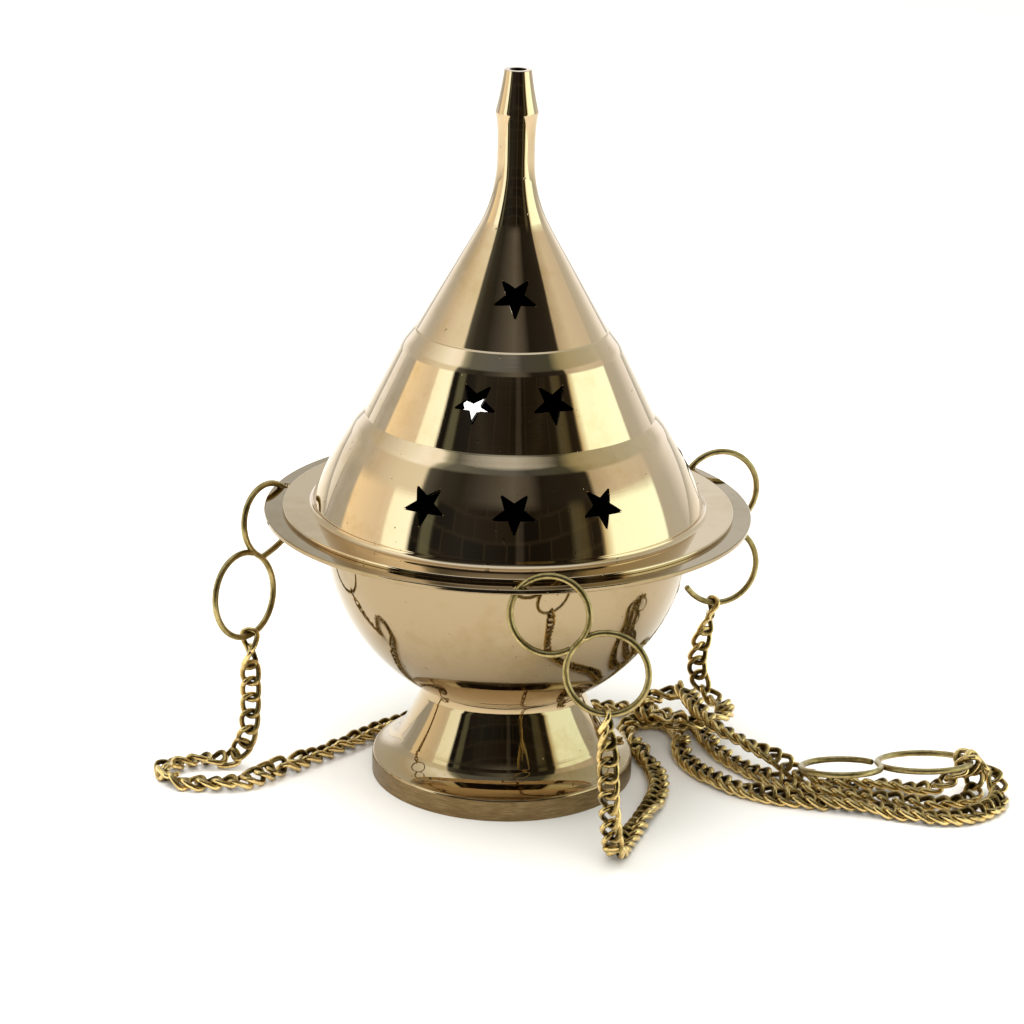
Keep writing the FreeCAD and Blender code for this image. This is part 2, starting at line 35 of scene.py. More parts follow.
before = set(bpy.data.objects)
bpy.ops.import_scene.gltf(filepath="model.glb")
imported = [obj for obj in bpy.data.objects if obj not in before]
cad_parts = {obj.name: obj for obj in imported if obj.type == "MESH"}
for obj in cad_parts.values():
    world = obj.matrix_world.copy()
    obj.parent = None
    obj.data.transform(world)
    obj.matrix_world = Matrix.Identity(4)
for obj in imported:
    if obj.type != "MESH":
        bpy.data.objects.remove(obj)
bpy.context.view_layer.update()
scene = bpy.context.scene
scene.view_settings.view_transform = "Standard"
MM = 0.001

# ------------------------------------------------------------------ camera
# Fitted to the outlines in the photograph: place, three angles in radians, lens in millimetres.
CAMERA_AT = Vector((0.0, -0.67275, 0.29277))
CAMERA_DOWN = 0.32536
CAMERA_PAN = 0.001507
CAMERA_ROLL = 0.024107
CAMERA_LENS = 105.47


def make_camera():
    data = bpy.data.cameras.new("camera")
    data.lens = CAMERA_LENS
    data.sensor_width = 36.0
    data.clip_start = 0.01
    data.clip_end = 50.0
    camera = bpy.data.objects.new("camera", data)
    scene.collection.objects.link(camera)
    ahead = Vector((math.sin(CAMERA_PAN) * math.cos(CAMERA_DOWN),
                    math.cos(CAMERA_PAN) * math.cos(CAMERA_DOWN), -math.sin(CAMERA_DOWN)))
    level = ahead.cross(Vector((0, 0, 1))).normalized()
    above = level.cross(ahead)
    right = math.cos(CAMERA_ROLL) * level + math.sin(CAMERA_ROLL) * above
    up = -math.sin(CAMERA_ROLL) * level + math.cos(CAMERA_ROLL) * above
    camera.matrix_world = Matrix((
        (right.x, up.x, -ahead.x, CAMERA_AT.x),
        (right.y, up.y, -ahead.y, CAMERA_AT.y),
        (right.z, up.z, -ahead.z, CAMERA_AT.z),
        (0, 0, 0, 1)))
    scene.camera = camera


make_camera()

# ------------------------------------------------------------------ hooks' shape
# Lengths in millimetres and angles in degrees. centre is the upper ring's, in plane "plane", which
# leans by lean; swing turns the hook in it. The top hook lies, so it has the place where its rings
# meet, its heading and its tilt. rings are the upper and lower radii and turn is the way the upper ring
# sets off. sweeps are how much of each circle the wire follows, and straight_from is where an upper
# ring leaves its circle and runs nearly straight to its end. Places, angles and radii were fitted to
# the hooks' outlines in the photograph and rounded, and the front hook's place was moved a little.
WIRE = 0.75 * MM
UPPER, LOWER = 1, -1
# How far along the straight end, as a share of it, the wire's bend reaches.
STRAIGHT_BEND = 0.4
HOOKS = {
    "hook_left": {"centre": (-56.93, 6.23, 60.20), "plane": 53.0, "lean": -6.19, "swing": -34.53,
                  "rings": (8.92, 10.15), "turn": -1, "sweeps": (349.0, 350.0),
                  "straight_from": 232.0},
    "hook_front": {"centre": (9.74, -57.17, 61.45), "plane": -8.41, "lean": -6.62, "swing": 47.22,
                   "rings": (8.83, 9.21), "turn": 1, "sweeps": (347.0, 349.0)},
    "hook_right": {"centre": (52.39, 34.20, 61.46), "plane": 15.27, "lean": -4.22, "swing": 0.61,
                   "rings": (9.65, 9.76), "turn": -1, "sweeps": (347.0, 240.0)},
}
TOP_HOOK = {"meeting": (90.0, -14.1, 9.2), "heading": 11.6, "tilt": 12.1, "rings": (9.54, 11.05),
            "turn": -1, "sweeps": (338.0, 351.0)}


def hook_plane(hook):
    """The level and the rising direction in the plane that a side hook hangs in."""
    plane, lean = math.radians(hook["plane"]), math.radians(hook["lean"])
    across = Vector((math.cos(plane), math.sin(plane), 0))
    back = Vector((math.sin(plane), -math.cos(plane), 0))
    return across, Vector((0, 0, math.cos(lean))) + back * math.sin(lean)


def hook_axes(hook):
    """Run along the wire where the rings meet, rise to the upper ring, and the meeting point."""
    if "meeting" in hook:
        heading, tilt = math.radians(hook["heading"]), math.radians(hook["tilt"])
        run = Vector((-math.sin(heading) * math.cos(tilt), math.cos(heading) * math.cos(tilt),
                      -math.sin(tilt)))
        rise = Vector((-math.cos(heading), -math.sin(heading), 0))
        return run, rise, Vector(hook["meeting"]) * MM
    across, upright = hook_plane(hook)
    swing = math.radians(hook["swing"])
    run = across * math.cos(swing) + upright * math.sin(swing)
    rise = upright * math.cos(swing) - across * math.sin(swing)
    return run, rise, (Vector(hook["centre"]) - rise * hook["rings"][0]) * MM


def hook_line(hook, per_ring=72):
    """Centre line of a hook's wire, from the end of its upper ring to the end of its lower one."""
    run, rise, meeting = hook_axes(hook)
    line = []
    for side, ring, sweep in zip((UPPER, LOWER), hook["rings"], hook["sweeps"]):
        arm = []
        for i in range(per_ring + 1):
            angle = math.radians(sweep) * i / per_ring
            arm.append(meeting + run * (side * hook["turn"] * ring * MM * math.sin(angle))
                       + rise * (side * ring * MM * (1 - math.cos(angle))))
        if side == UPPER and "straight_from" in hook:
            first = round(per_ring * hook["straight_from"] / sweep)
            start, end = arm[first], arm[-1]
            leaving = (start - arm[first - 1]).normalized()
            bend = start + leaving * (end - start).length * STRAIGHT_BEND
            for i in range(first, per_ring + 1):
                share = (i - first) / (per_ring - first)
                arm[i] = (start * (1 - share) ** 2 + bend * 2 * share * (1 - share)
                          + end * share ** 2)
        line = arm[::-1] if side == UPPER else line + arm[1:]
    return line


# ------------------------------------------------------------------ chains
# The middle of each chain from its side hook to the top hook, in millimetres, chosen along what
# the photograph shows.
ROUTES = {
    "chain_left": [
        (-61.0, -3.6, 35.6), (-60.5, -4.0, 20.3), (-61.0, -5.6, 8.8), (-64.2, -3.4, 3.1),
        (-70.5, -3.6, 2.1), (-78.6, -5.4, 2.1), (-82.4, -11.2, 2.1), (-78.6, -16.6, 2.1),
        (-69.0, -17.6, 2.1), (-60.5, -16.0, 2.1), (-54.0, -8.6, 2.1), (-45.5, 1.2, 2.1),
        (-37.8, 9.8, 2.1), (-30.2, 19.8, 2.1), (-18.5, 31.2, 2.1), (-3.0, 36.0, 2.1),
        (13.0, 37.4, 2.1), (28.0, 36.6, 2.1), (41.0, 33.4, 2.1), (49.6, 26.0, 2.1),
        (51.2, 15.0, 2.1), (55.2, 4.8, 2.1), (62.6, -4.6, 2.1), (71.5, -12.4, 2.1),
        (82.0, -15.4, 2.1), (92.5, -17.2, 2.1), (102.6, -20.0, 2.1), (110.2, -18.4, 2.4),
        (113.9, -12.8, 3.6), (113.2, -9.4, 6.6), (111.7, -9.6, 10.8),
    ],
    "chain_front": [
        (22.6, -61.8, 41.2), (23.6, -60.8, 25.5), (24.5, -59.0, 14.0), (25.4, -55.4, 4.6),
        (27.4, -48.6, 2.2), (31.1, -37.0, 2.2), (35.8, -24.5, 2.2), (38.5, -11.5, 2.2),
        (36.4, 1.5, 2.2), (31.8, 12.4, 2.2), (30.0, 21.2, 2.2), (34.2, 28.6, 2.2),
        (42.0, 27.4, 2.2), (44.6, 19.6, 2.2), (43.6, 9.5, 2.2), (46.6, -1.0, 2.2),
        (53.5, -10.6, 2.2), (64.0, -17.6, 2.2), (77.5, -19.9, 2.2), (90.5, -23.2, 2.2),
        (101.0, -27.6, 2.2), (111.0, -26.2, 2.2), (117.9, -19.6, 2.6), (119.6, -12.6, 4.2),
        (116.0, -7.6, 7.3), (109.4, -6.4, 8.7),
    ],
    "chain_right": [
        (52.4, 32.0, 33.4), (49.2, 31.1, 22.7), (48.0, 31.7, 13.6), (51.9, 31.7, 7.2),
        (56.2, 25.4, 7.05), (54.6, 17.6, 7.05), (47.6, 14.0, 7.05), (40.0, 14.2, 7.05),
        (34.8, 19.4, 7.05), (34.9, 28.2, 7.4), (42.8, 29.8, 9.6), (46.1, 23.0, 11.9),
        (46.9, 16.0, 11.98), (49.4, 9.0, 11.0), (54.4, 4.2, 8.6), (60.8, 0.8, 7.0),
        (67.4, -2.6, 5.2), (74.0, -6.8, 2.7), (82.0, -8.8, 2.2), (92.0, -9.6, 2.2),
        (100.8, -11.6, 2.9), (106.4, -13.2, 5.0), (110.0, -13.4, 8.4), (113.2, -13.0, 10.9),
    ],
}
CHAIN_HOOKS = {"chain_left": "hook_left", "chain_front": "hook_front",
               "chain_right": "hook_right"}
CHAIN_SEEDS = {"chain_left": 3, "chain_front": 5, "chain_right": 11}
# A curb link: half the wire's centre line along and across, how far the twist lifts it, how square
# the oval is (1 is an ellipse, less is squarer), and the wire's radius.
LINK_ALONG = 2.75 * MM
LINK_ACROSS = 1.93 * MM
LINK_TWIST = 0.85 * MM
LINK_SQUARE = 0.86
LINK_WIRE = 0.68 * MM
LINK_STEPS = 26
LINK_SIDES = 8
# The links' spacing where the chain hangs from a hook and where it lies slack, and the heights
# between which one changes to the other.
HANG_PITCH = 4.1 * MM
HANGS = (5.0 * MM, 9.0 * MM)
SLACK_PITCH = {"chain_left": 3.8 * MM, "chain_front": 3.2 * MM, "chain_right": 3.4 * MM}
# Where a chain lies in a tangle: the stretch, by the distance along it, and how softly it sets in.
TANGLES = {"chain_left": (30.0 * MM, 92.0 * MM), "chain_front": (95.0 * MM, 150.0 * MM),
           "chain_right": (26.0 * MM, 85.0 * MM)}
TANGLE_EDGE = 5.0 * MM
# A link's random roll and tip in degrees, and how many times more of each there is in a tangle.
ROLL, TANGLE_ROLL = 7.0, 5.0
TIP, TANGLE_TIP = 6.0, 2.0
# Slow waves of roll along a chain: their lengths, their sizes in degrees, and the length over which
# they set in at each end.
WAVES = 3
WAVE_LENGTHS = (26.0 * MM, 70.0 * MM)
WAVE_ROLL = (4.0, 11.0)
WAVE_EDGE = 20.0 * MM
# Where the end links sit and where a link takes its direction from, as shares of LINK_ALONG.
END_LINK = 0.95
LINK_GRIP = 0.7
# A link lies flat where its way is less steep than the first and hangs where it is steeper.
STEEP = (0.35, 0.95)
# The links below a hook turn from its wire to face the front over this length.
HANG_TURN = 13.0 * MM
FRONT = Vector((0.0, -1.0, 0.0))
# The end links turn to face along the top hook's wire over this length.
END_TURN = 9.0 * MM
FLOOR_GAP = 0.04 * MM
# Links whose middle is below SETTLE_LOW rest on the floor, those above SETTLE_HIGH keep their height.
SETTLE_LOW = 3.0 * MM
SETTLE_HIGH = 5.5 * MM


def smooth_step(value, low, high):
    """0 up to low, 1 from high on, and a soft rise between."""
    share = min(1.0, max(0.0, (value - low) / (high - low)))
    return share * share * (3 - 2 * share)


def cord_line(name, points):
    """The smooth line of a chain's route, as Blender works it out from its control points."""
    curve = bpy.data.curves.new(name + "_line", "CURVE")
    curve.dimensions = "3D"
    spline = curve.splines.new("NURBS")
    spline.points.add(len(points) - 1)
    for point, place in zip(spline.points, points):
        point.co = (place[0] * MM, place[1] * MM, place[2] * MM, 1.0)
    spline.order_u = 3
    spline.use_endpoint_u = True
    curve.resolution_u = 16
    holder = bpy.data.objects.new(name + "_line", curve)
    mesh = bpy.data.meshes.new_from_object(holder)
    line = [vertex.co.copy() for vertex in mesh.vertices]
    bpy.data.meshes.remove(mesh)
    bpy.data.objects.remove(holder)
    bpy.data.curves.remove(curve)
    return line


class Track:
    """A line read by the distance along it."""

    def __init__(self, line):
        self.line = np.array([tuple(point) for point in line])
        steps = np.linalg.norm(np.diff(self.line, axis=0), axis=1)
        self.marks = np.concatenate(([0.0], np.cumsum(steps)))
        self.length = float(self.marks[-1])

    def at(self, distance):
        distance = min(self.length, max(0.0, distance))
        return Vector([float(np.interp(distance, self.marks, self.line[:, k])) for k in range(3)])


def link_ring():
    """Centre line of one curb link: a rounded oval whose two sides are twisted past each other."""
    ring = []
    for i in range(LINK_STEPS):
        angle = 2 * math.pi * i / LINK_STEPS
        cosine, sine = math.cos(angle), math.sin(angle)
        ring.append(Vector((LINK_ALONG * math.copysign(abs(cosine) ** LINK_SQUARE, cosine),
                            LINK_ACROSS * math.copysign(abs(sine) ** LINK_SQUARE, sine),
                            LINK_TWIST * math.sin(2 * angle))))
    return ring


def closed_tube(ring, radius, sides, first):
    """Vertices and faces of a closed tube round a ring of points, numbered from first."""
    count = len(ring)
    places, faces = [], []
    for i, point in enumerate(ring):
        way = (ring[(i + 1) % count] - ring[i - 1]).normalized()
        outward = Vector((point.x, point.y, 0))
        outward = (outward - way * outward.dot(way)).normalized()
        other = way.cross(outward)
        for j in range(sides):
            angle = 2 * math.pi * j / sides
            places.append(point + (outward * math.cos(angle) + other * math.sin(angle)) * radius)
    for i in range(count):
        for j in range(sides):
            a, b = i * sides + j, i * sides + (j + 1) % sides
            c, d = ((i + 1) % count) * sides + (j + 1) % sides, ((i + 1) % count) * sides + j
            faces.append((first + a, first + b, first + c, first + d))
    return places, faces


def link_marks(track, slack):
    """Distances of the links along a chain: wider apart where it hangs than where it lies."""
    first = LINK_ALONG * END_LINK
    marks = [first]
    while marks[-1] < track.length - first:
        height = track.at(marks[-1]).z
        hanging = smooth_step(height, *HANGS) * (marks[-1] < track.length / 2)
        marks.append(marks[-1] + slack + (HANG_PITCH - slack) * hanging)
    scale = (track.length - 2 * first) / (marks[-1] - first)
    return [first + (mark - first) * scale for mark in marks]


def link_face(track, distance, start_way, end_way):
    """A link's centre, its direction and the way its flat face looks before it is rolled."""
    ahead = track.at(distance + LINK_ALONG * LINK_GRIP)
    behind = track.at(distance - LINK_ALONG * LINK_GRIP)
    way = (ahead - behind).normalized()
    lying = 1.0 - smooth_step(abs(way.z), *STEEP)
    turned = smooth_step(distance, 0, HANG_TURN)
    hanging = start_way * (1.0 - turned) + FRONT * turned
    face = Vector((0, 0, 1)) * lying + hanging * (1.0 - lying)
    ending = smooth_step(distance, track.length - END_TURN, track.length - LINK_ALONG)
    face = face.normalized() * (1.0 - ending) + end_way * ending
    face = (face - way * face.dot(way)).normalized()
    return (ahead + behind) / 2, way, face


def chain_mesh(name, track, start_way, end_way):
    """A row of curb links along a track, each rolled and tipped a little and resting on the floor."""
    draw = random.Random(CHAIN_SEEDS[name])
    waves = [(draw.uniform(*WAVE_LENGTHS), draw.uniform(0, 2 * math.pi), draw.uniform(*WAVE_ROLL))
             for i in range(WAVES)]
    ring = link_ring()
    places, faces, painted_link_shading = [], [], []
    tangle = TANGLES[name]
    for distance in link_marks(track, SLACK_PITCH[name]):
        middle, way, face = link_face(track, distance, start_way, end_way)
        roll = sum(size * math.sin(2 * math.pi * distance / wave + start)
                   for wave, start, size in waves)
        roll *= (smooth_step(distance, 0, WAVE_EDGE)
                 * smooth_step(track.length - distance, 0, WAVE_EDGE))
        loose = (smooth_step(distance, tangle[0] - TANGLE_EDGE, tangle[0] + TANGLE_EDGE)
                 * smooth_step(tangle[1] - distance, -TANGLE_EDGE, TANGLE_EDGE))
        roll = math.radians(roll + draw.uniform(-ROLL, ROLL) * (1 + TANGLE_ROLL * loose))
        tip = math.radians(draw.uniform(-TIP, TIP) * (1 + TANGLE_TIP * loose))
        face = Matrix.Rotation(roll, 3, way) @ face
        across = face.cross(way)
        way = Matrix.Rotation(tip, 3, across) @ way
        face = way.cross(across)
        turned = Matrix((way, across, face)).transposed()
        tube, tube_faces = closed_tube(ring, LINK_WIRE, LINK_SIDES, len(places))
        tube = [turned @ place + middle for place in tube]
        low = min(place.z for place in tube) - FLOOR_GAP
        share = 1.0 if low < 0 else 1.0 - smooth_step(middle.z, SETTLE_LOW, SETTLE_HIGH)
        places += [place - Vector((0, 0, low * share)) for place in tube]
        faces += tube_faces
        # Per vertex: 1 on the wire's outer side, 0 on its inner side, for painted highlight and painted
        # shade on the links.
        painted_link_shading += [0.5 + 0.5 * math.cos(2 * math.pi * k / LINK_SIDES)
                 for k in range(LINK_SIDES)] * LINK_STEPS
    mesh = bpy.data.meshes.new(name + "_links")
    mesh.from_pydata([tuple(place) for place in places], [], faces)
    mesh.attributes.new("painted_link_shading", "FLOAT", "POINT").data.foreach_set("value", painted_link_shading)
    mesh.polygons.foreach_set("use_smooth", [True] * len(faces))
    return mesh


def shown(name, mesh, node, body=None):
    """A new piece that stands for a CAD node. It rides on body when one is given."""
    piece = bpy.data.objects.new(name, mesh)
    scene.collection.objects.link(piece)
    if body:
        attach(piece, body)
    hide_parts(node)
    return piece


CHAINS = []
for name, points in ROUTES.items():
    track = Track(cord_line(name, points))
    hook = HOOKS[CHAIN_HOOKS[name]]
    links = chain_mesh(name, track, hook_plane(hook)[0], hook_axes(TOP_HOOK)[0])
    piece = shown(name + "_links", links, name)
    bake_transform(piece)
    CHAINS.append(piece)

# ------------------------------------------------------------------ turned pieces
# Lengths of the outlines are in millimetres. EDGE is how far a corner's rounding reaches.
EDGE = 0.16
AROUND = 288
STRAIGHT_STEP = 2.0
ARC_STEP = 1.2
CORNER_SHARES = (0.2, 0.4, 0.6, 0.8)
# The least cosine between two edges' normals that meet without a corner, and between a turned face's
# own normal and its outline's.
SAME_WAY = 0.9999
NEAR_WAY = 0.75


def arc_samples(start, end, radius, side):
    """Points and outward normals on an arc that bulges left (1) or right (-1) of its way."""
    start, end = np.array(start), np.array(end)
    chord = end - start
    span = float(np.hypot(*chord))
    depth = math.sqrt(radius ** 2 - (span / 2) ** 2)
    centre = (start + end) / 2 + side * depth * np.array([chord[1], -chord[0]]) / span
    first = math.atan2(*(start - centre)[::-1])
    last = math.atan2(*(end - centre)[::-1])
    turn = (last - first + math.pi) % (2 * math.pi) - math.pi
    count = max(3, int(abs(turn) * radius / ARC_STEP) + 1)
    angles = [first + turn * i / count for i in range(count + 1)]
    rim = [np.array([math.cos(a), math.sin(a)]) for a in angles]
    return [centre + radius * r for r in rim], [-side * r for r in rim]


# Corners that are rounded more or less than the rest, by radius and height, with the size of each.
SOFT_CORNERS = {(36.6, 87.45): 1.2, (25.35, 107.1): 1.0, (22.5, 110.75): 0.08, (22.1, 111.0): 0.08,
                (34.1, 90.2): 0.08, (33.8, 90.55): 0.08, (8.85, 134.0): 3.0, (19.3, 23.3): 0.06}


def trimmed(points, normals, cuts):
    """A stretch with a length cut off at each end."""
    points, normals = list(points), list(normals)
    for end, near, cut in ((0, 1, cuts[0]), (-1, -2, cuts[1])):
        gap = float(np.hypot(*(points[near] - points[end])))
        while cut > 0.9 * gap and len(points) > 3:
            cut -= gap
            points.pop(end)
            normals.pop(end)
            gap = float(np.hypot(*(points[near] - points[end])))
        points[end] = points[end] + (points[near] - points[end]) * min(0.45, max(0, cut) / gap)
    return points, normals


def outline(corners):
    """Closed half outline with rounded corners: points and unit outward normals.

    corners are (radius, height, edge to the next corner), an edge being None or (radius, side).
    """
    stretches = []
    for i, (r, z, edge) in enumerate(corners):
        end = corners[(i + 1) % len(corners)][:2]
        if edge is None:
            points = [np.array([r, z], float), np.array(end, float)]
            way = (points[1] - points[0]) / np.hypot(*(points[1] - points[0]))
            normal = np.array([way[1], -way[0]])
            count = max(1, int(np.hypot(*(points[1] - points[0])) / STRAIGHT_STEP))
            points = [points[0] + (points[1] - points[0]) * k / count for k in range(count + 1)]
            normals = [normal] * (count + 1)
        else:
            points, normals = arc_samples((r, z), end, *edge)
        stretches.append((points, normals))
    places, facing = [], []
    sizes = [SOFT_CORNERS.get(corner[:2], EDGE) for corner in corners]
    cut = [trimmed(points, normals, (sizes[i], sizes[(i + 1) % len(corners)]))
           for i, (points, normals) in enumerate(stretches)]
    for i, (kept, kept_normals) in enumerate(cut):
        places += kept
        facing += kept_normals
        corner = np.array(corners[(i + 1) % len(corners)][:2], float)
        after = cut[(i + 1) % len(cut)]
        if float(np.dot(kept_normals[-1], after[1][0])) > SAME_WAY:
            continue
        for share in CORNER_SHARES:
            places.append(kept[-1] * (1 - share) ** 2 + corner * 2 * share * (1 - share)
                          + after[0][0] * share ** 2)
            normal = kept_normals[-1] * (1 - share) + after[1][0] * share
            facing.append(normal / np.hypot(*normal))
    return np.array(places) * MM, np.array(facing)


def turned_mesh(name, corners):
    """A mesh turned about Z from a closed half outline, with the outline's own normals."""
    places, facing = outline(corners)
    count = len(places)
    angles = 2 * math.pi * np.arange(AROUND) / AROUND
    cosines, sines = np.cos(angles), np.sin(angles)
    vertices = np.stack([np.outer(cosines, places[:, 0]), np.outer(sines, places[:, 0]),
                         np.broadcast_to(places[:, 1], (AROUND, count))], -1).reshape(-1, 3)
    faces = []
    for i in range(AROUND):
        here, there = i * count, ((i + 1) % AROUND) * count
        for j in range(count):
            k = (j + 1) % count
            faces.append((here + j, there + j, there + k, here + k))
    mesh = bpy.data.meshes.new(name)
    mesh.from_pydata(vertices.tolist(), [], faces)
    mesh.update()
    return mesh, places, facing


def set_normals(mesh, places, facing):
    """Give the turned faces the outline's normals and leave cut faces flat."""
    fine, batch = 6, 4000
    following = np.roll(places, -1, axis=0)
    turning = np.roll(facing, -1, axis=0)
    shares = (np.arange(fine) / fine)[None, :, None]
    points = (places[:, None] * (1 - shares) + following[:, None] * shares).reshape(-1, 2)
    normals = (facing[:, None] * (1 - shares) + turning[:, None] * shares).reshape(-1, 2)
    normals /= np.linalg.norm(normals, axis=1)[:, None]
    vertices = np.array([tuple(v.co) for v in mesh.vertices])
    radii = np.hypot(vertices[:, 0], vertices[:, 1])
    nearest = np.empty(len(vertices), int)
    flat = np.stack([radii, vertices[:, 2]], -1)
    for start in range(0, len(flat), batch):
        gap = flat[start:start + batch, None, :] - points[None]
        nearest[start:start + batch] = np.argmin((gap ** 2).sum(-1), axis=1)
    chosen = normals[nearest]
    smooth = np.stack([chosen[:, 0] * vertices[:, 0] / radii, chosen[:, 0] * vertices[:, 1] / radii,
                       chosen[:, 1]], -1)
    loop_normals = np.zeros((len(mesh.loops), 3))
    for face in mesh.polygons:
        own = np.array(tuple(face.normal))
        spots = list(face.vertices)
        turned_face = float(np.dot(smooth[spots].mean(axis=0), own)) > NEAR_WAY
        for loop, spot in zip(face.loop_indices, spots):
            loop_normals[loop] = smooth[spot] if turned_face else own
        face.use_smooth = turned_face
    mesh.normals_split_custom_set(loop_normals.tolist())


def cut_from(mesh, cutters):
    """Boolean difference of closed cutter meshes, given as (vertices, faces) each."""
    places, faces = [], []
    for own_places, own_faces in cutters:
        faces += [tuple(len(places) + k for k in face) for face in own_faces]
        places += [tuple(place) for place in own_places]
    tool_mesh = bpy.data.meshes.new("tool")
    tool_mesh.from_pydata(places, [], faces)
    tool = bpy.data.objects.new("tool", tool_mesh)
    blank = bpy.data.objects.new("blank", mesh)
    for item in (tool, blank):
        scene.collection.objects.link(item)
    step = blank.modifiers.new("cut", "BOOLEAN")
    step.operation = "DIFFERENCE"
    step.solver = "EXACT"
    step.object = tool
    evaluated = blank.evaluated_get(bpy.context.evaluated_depsgraph_get())
    result = bpy.data.meshes.new_from_object(evaluated)
    result.name = mesh.name + "_cut"
    bpy.data.objects.remove(blank)
    bpy.data.objects.remove(tool)
    bpy.data.meshes.remove(tool_mesh)
    return result


def prism(outline_points, centre, right, up, outward, layers, curving=0.0):
    """A closed cutter: one outline at several depths along outward, each with its own size, bent
    back to either side by the square of the distance times curving."""
    count = len(outline_points)
    places, faces = [], [tuple(range(count))[::-1]]
    for depth, size in layers:
        for a, b in outline_points:
            places.append(centre + right * (a * size) + up * (b * size)
                          + outward * (depth - curving * (a * size) ** 2))
    for first in range(0, (len(layers) - 1) * count, count):
        faces += [(first + k, first + (k + 1) % count, first + count + (k + 1) % count,
                   first + count + k) for k in range(count)]
    faces.append(tuple(range((len(layers) - 1) * count, len(layers) * count)))
    return places, faces


# The closed half outlines: radius, height and the edge to the next corner, which is None for a
# straight one or (radius, side) for an arc.
FLANGE_LOW, FLANGE_HIGH = 66.0, 67.2
FOOT = [(30.1, 0, None), (31.5, 0, None), (31.5, 4.8, (0.9, -1)), (30.7, 5.5, (9.6, 1)),
        (25.0, 10.2, (60.0, 1)), (19.75, 20.6, (6.0, 1)), (19.3, 23.3, None), (18.2, 22.8, None),
        (2.1, 22.8, None), (2.1, 21.0, None), (17.9, 21.0, None), (18.5, 18.4, None),
        (24.0, 7.6, None), (30.1, 4.1, None)]
BOWL = [(2.1, 22.8, None), (18.15, 22.8, (43.2, -1)), (43.2, 62.0, None), (43.2, FLANGE_LOW, None),
        (57.1, FLANGE_LOW, (0.4, -1)), (57.5, 66.4, None), (57.5, 66.8, (0.4, -1)),
        (57.1, FLANGE_HIGH, None), (42.0, FLANGE_HIGH, None),
        (42.0, 62.0, (42.0, 1)), (17.89, 24.0, None), (2.1, 24.0, None)]
LID = [(40.5, 64.4, None), (41.7, 64.4, None), (41.7, FLANGE_HIGH, None), (53.2, FLANGE_HIGH, None),
       (53.2, 67.9, (0.3, -1)), (52.9, 68.2, None), (47.4, 68.2, (1.4, 1)),
       (46.0, 69.6, (90.0, -1)), (36.6, 87.45, None), (34.1, 90.2, None), (33.8, 90.55, None),
       (25.35, 107.1, None), (22.5, 110.75, None), (22.1, 111.0, None), (8.85, 134.0, (33.6, 1)),
       (4.33, 150.9, None), (4.33, 155.0, (36.0, 1)),
       (4.92, 161.5, (80.0, 1)), (3.13, 171.2, None), (1.8, 171.2, None), (1.8, 165.0, None),
       (3.43, 159.0, None), (3.43, 150.9, (34.8, -1)), (7.65, 134.0, None), (21.0, 110.9, None),
       (24.2, 107.1, None), (32.7, 90.5, None), (35.4, 87.3, (90.0, 1)), (44.8, 69.6, None),
       (44.8, 68.5, None), (40.5, 68.5, None)]
# How far a star's tips and notches are from its middle.
STAR_TIP = 4.9
STAR_NOTCH = 2.15
# Half the angle that a tip is cut off over, in degrees, and the cutter's depths with its size at each:
# straight through the wall, then wider for the dulled edge outside.
STAR_BLUNT = 1.6
STAR_LAYERS = ((-3 * MM, 1.0), (-0.2 * MM, 1.0), (2 * MM, 1.6))
HOLE_LAYERS = ((-2 * MM, 1.0), (2 * MM, 1.0))
# The radii of the hooks' holes. The left hook passes its hole at a slant, so that one is wider.
HOLE = 1.45
WIDE_HOLE = 1.9
HOLE_SIDES = 32
STAR_GROUPS = (2.0, 122.0, 222.0)
# Each row's height, the wall's corners below and above it, how far the wall bulges out between them,
# and the stars' angles within one group.
STAR_ROWS = [
    (122.1, (22.2, 110.9), (8.85, 134.0), 0.0, (0.0,)),
    (100.7, (33.9, 90.5), (25.4, 107.1), 0.0, (-17.9, 17.9)),
    (79.4, (46.0, 69.6), (36.6, 87.3), 0.55, (-28.7, 0.0, 28.7)),
]


def star_cutters():
    """A bent five-pointed prism for each star of the lid."""
    star = []
    for i in range(10):
        reach = (STAR_TIP if i % 2 == 0 else STAR_NOTCH) * MM
        for blunt in ((-STAR_BLUNT, STAR_BLUNT) if i % 2 == 0 else (0.0,)):
            angle = math.radians(-90 + 36 * i + blunt)
            star.append((reach * math.cos(angle), reach * math.sin(angle)))
    cutters = []
    for group in STAR_GROUPS:
        for height, below, above, bulge, angles in STAR_ROWS:
            share = (height - below[1]) / (above[1] - below[1])
            radius = below[0] + share * (above[0] - below[0]) + bulge
            slope = math.atan2(below[0] - above[0], above[1] - below[1])
            for angle in angles:
                turn = math.radians(group + angle)
                away = Vector((math.sin(turn), -math.cos(turn), 0))
                right = Vector((math.cos(turn), math.sin(turn), 0))
                outward = away * math.cos(slope) + Vector((0, 0, math.sin(slope)))
                up = Vector((0, 0, math.cos(slope))) - away * math.sin(slope)
                centre = away * (radius * MM) + Vector((0, 0, height * MM))
                cutters.append(prism(star, centre, right, up, outward, STAR_LAYERS,
                                     math.cos(slope) / (2 * radius * MM)))
    return cutters


